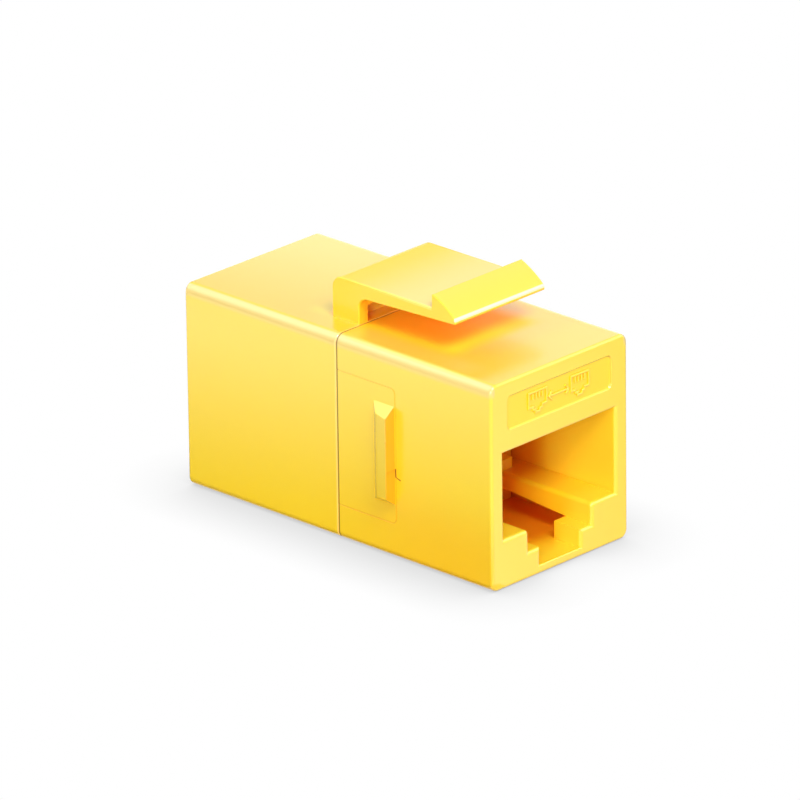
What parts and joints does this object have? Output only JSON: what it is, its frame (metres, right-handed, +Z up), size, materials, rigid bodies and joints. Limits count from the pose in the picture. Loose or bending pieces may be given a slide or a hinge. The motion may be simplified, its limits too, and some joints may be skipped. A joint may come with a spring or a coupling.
{
  "type": "rj45 inline coupler",
  "caption": "Snap-in inline coupler: a split plastic housing with a plug port at each end, side lugs and a flexing top latch for a panel cut-out.",
  "frame": {"origin": "middle of the flat base, under the seam between the two shells", "axes": "+Y runs along the coupler from the front port to the rear port, +X is across it, +Z is up towards the panel latch"},
  "size_m": [0.0164, 0.031, 0.0204],
  "materials": {
    "shell": "smooth moulded yellow, semi-gloss",
    "carrier": "moulded yellow, satin",
    "board": "green solder mask on glass laminate",
    "contact": "gold-plated spring wire"
  },
  "bodies": {
    "root": {"front_shell": "shell", "rear_shell": "shell", "circuit_board": "board", "front_contact_carrier": "carrier", "rear_contact_carrier": "carrier", "front_contact_1": "contact", "front_contact_2": "contact", "front_contact_3": "contact", "front_contact_4": "contact", "front_contact_5": "contact", "front_contact_6": "contact", "front_contact_7": "contact", "front_contact_8": "contact", "rear_contact_1": "contact", "rear_contact_2": "contact", "rear_contact_3": "contact", "rear_contact_4": "contact", "rear_contact_5": "contact", "rear_contact_6": "contact", "rear_contact_7": "contact", "rear_contact_8": "contact"}
  },
  "joints": []
}
